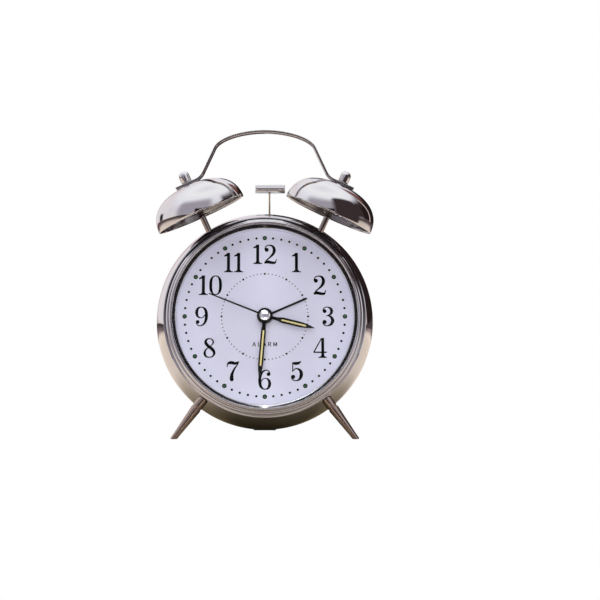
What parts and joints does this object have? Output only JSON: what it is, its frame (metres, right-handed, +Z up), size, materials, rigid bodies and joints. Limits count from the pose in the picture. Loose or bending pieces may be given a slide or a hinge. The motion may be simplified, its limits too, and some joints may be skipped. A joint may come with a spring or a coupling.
{
  "type": "alarm clock",
  "caption": "Twin-bell desk alarm clock: round chromed case leaning back on two legs, domed bells with a strap handle and hammer, white numbered dial, battery movement.",
  "frame": {"origin": "middle of the bounding box's footprint, on the table", "axes": "+Z up, +X to the right of the dial, +Y towards the back; the dial faces -Y and leans back 10 degrees"},
  "size_m": [0.115, 0.061, 0.1595],
  "materials": {
    "chrome": "polished",
    "dark_steel": "satin",
    "brass": "satin",
    "copper": "enamelled winding",
    "glass": "clear",
    "dial_white": "satin printed",
    "black_paint": "satin",
    "black_plastic": "fine moulded texture",
    "white_plastic": "moulded",
    "board": "laminate",
    "battery_wrap": "printed sleeve"
  },
  "bodies": {
    "root": {"case_shell": "chrome", "bezel_ring": "chrome", "lens": "glass", "reflector_ring": "chrome", "dial_plate": "dial_white", "inner_frame": "white_plastic", "left_leg": "chrome", "right_leg": "chrome", "left_leg_nut": "dark_steel", "right_leg_nut": "dark_steel", "left_bell_post": "chrome", "right_bell_post": "chrome", "left_post_nut": "dark_steel", "right_post_nut": "dark_steel", "left_bell_washer": "dark_steel", "right_bell_washer": "dark_steel", "left_bell": "chrome", "right_bell": "chrome", "left_cap_nut": "chrome", "right_cap_nut": "chrome", "handle_strap": "chrome", "rear_cover": "black_plastic", "battery": "battery_wrap", "positive_contact": "dark_steel", "negative_contact": "dark_steel", "battery_spring": "dark_steel", "cover_screw_1": "dark_steel", "cover_screw_2": "dark_steel", "movement_front": "white_plastic", "movement_rear": "white_plastic", "circuit_board": "board", "quartz_crystal": "chrome", "drive_coil": "copper", "stator_plate": "dark_steel", "hammer_pivot_pin": "dark_steel", "hammer_motor": "dark_steel", "hammer_bracket": "white_plastic"},
    "second_set": {"second_wheel": "brass", "second_hand": "black_paint", "hand_cap": "chrome"},
    "minute_set": {"minute_wheel": "brass", "minute_hand": "black_paint"},
    "hour_set": {"hour_wheel": "white_plastic", "hour_hand": "black_paint"},
    "third_set": {"third_wheel": "brass"},
    "motion_set": {"motion_wheel": "white_plastic"},
    "step_set": {"step_wheel": "white_plastic"},
    "rotor_set": {"rotor": "dark_steel"},
    "time_set": {"time_set_shaft": "white_plastic", "time_set_knob": "black_plastic"},
    "alarm_hand_set": {"alarm_wheel": "white_plastic", "alarm_hand": "black_paint"},
    "alarm_set": {"alarm_set_shaft": "white_plastic", "alarm_set_knob": "black_plastic"},
    "hammer": {"hammer_lever": "white_plastic", "hammer_wire": "brass", "hammer_head": "chrome"},
    "crank": {"hammer_crank": "white_plastic"},
    "switch": {"alarm_switch": "white_plastic"},
    "door": {"battery_door": "black_plastic"}
  },
  "joints": [
    {"name": "second_hand_turn", "type": "hinge", "parent": "root", "child": "second_set", "pos_m": [0, -0.01818, 0.06273], "axis": [0, 0.9848, -0.1736], "continuous": true},
    {"name": "minute_hand_turn", "type": "hinge", "parent": "root", "child": "minute_set", "pos_m": [0, -0.01699, 0.06252], "axis": [0, 0.9848, -0.1736], "continuous": true},
    {"name": "hour_hand_turn", "type": "hinge", "parent": "root", "child": "hour_set", "pos_m": [0, -0.01581, 0.06231], "axis": [0, 0.9848, -0.1736], "continuous": true},
    {"name": "third_wheel_turn", "type": "hinge", "parent": "root", "child": "third_set", "pos_m": [-0.00779, -0.00065, 0.0642], "axis": [0, 0.9848, -0.1736], "continuous": true},
    {"name": "motion_wheel_turn", "type": "hinge", "parent": "root", "child": "motion_set", "pos_m": [0.0048, -0.00977, 0.0528], "axis": [0, 0.9848, -0.1736], "continuous": true},
    {"name": "step_wheel_turn", "type": "hinge", "parent": "root", "child": "step_set", "pos_m": [-0.0048, -0.00091, 0.05124], "axis": [0, 0.9848, -0.1736], "continuous": true},
    {"name": "rotor_turn", "type": "hinge", "parent": "root", "child": "rotor_set", "pos_m": [-0.01266, -0.00312, 0.05022], "axis": [0, 0.9848, -0.1736], "continuous": true},
    {"name": "time_knob_turn", "type": "hinge", "parent": "root", "child": "time_set", "pos_m": [0.01523, 0.02224, 0.04431], "axis": [0, 0.9848, -0.1736], "continuous": true},
    {"name": "alarm_knob_turn", "type": "hinge", "parent": "root", "child": "alarm_set", "pos_m": [0.00866, 0.02504, 0.06018], "axis": [0, 0.9848, -0.1736], "continuous": true},
    {"name": "alarm_hand_turn", "type": "hinge", "parent": "root", "child": "alarm_hand_set", "pos_m": [0, -0.01483, 0.06214], "axis": [0, 0.9848, -0.1736], "continuous": true},
    {"name": "hammer_swing", "type": "hinge", "parent": "root", "child": "hammer", "pos_m": [0.0025, -0.00688, 0.09221], "axis": [0, 0.9848, -0.1736], "range_deg": [-9.8, 1.5]},
    {"name": "crank_turn", "type": "hinge", "parent": "root", "child": "crank", "pos_m": [-0.012, -0.00194, 0.09723], "axis": [0, 0.9848, -0.1736], "continuous": true},
    {"name": "alarm_switch_slide", "type": "slide", "parent": "root", "child": "switch", "axis": [1, 0, 0], "range_m": [0, 0.0035]},
    {"name": "battery_door_hinge", "type": "hinge", "parent": "root", "child": "door", "pos_m": [0, 0.0144, 0.01768], "axis": [-1, 0, 0], "range_deg": [0, 100]}
  ],
  "couplings": [
    {"joint": "minute_hand_turn", "follows": "second_hand_turn", "ratio": 0.016667},
    {"joint": "hour_hand_turn", "follows": "second_hand_turn", "ratio": 0.0013889},
    {"joint": "third_wheel_turn", "follows": "second_hand_turn", "ratio": -0.13333},
    {"joint": "motion_wheel_turn", "follows": "second_hand_turn", "ratio": -0.0055556},
    {"joint": "step_wheel_turn", "follows": "second_hand_turn", "ratio": -5},
    {"joint": "rotor_turn", "follows": "second_hand_turn", "ratio": 30},
    {"joint": "time_knob_turn", "follows": "second_hand_turn", "ratio": 0.011111},
    {"joint": "alarm_hand_turn", "follows": "alarm_knob_turn", "ratio": -0.25}
  ]
}
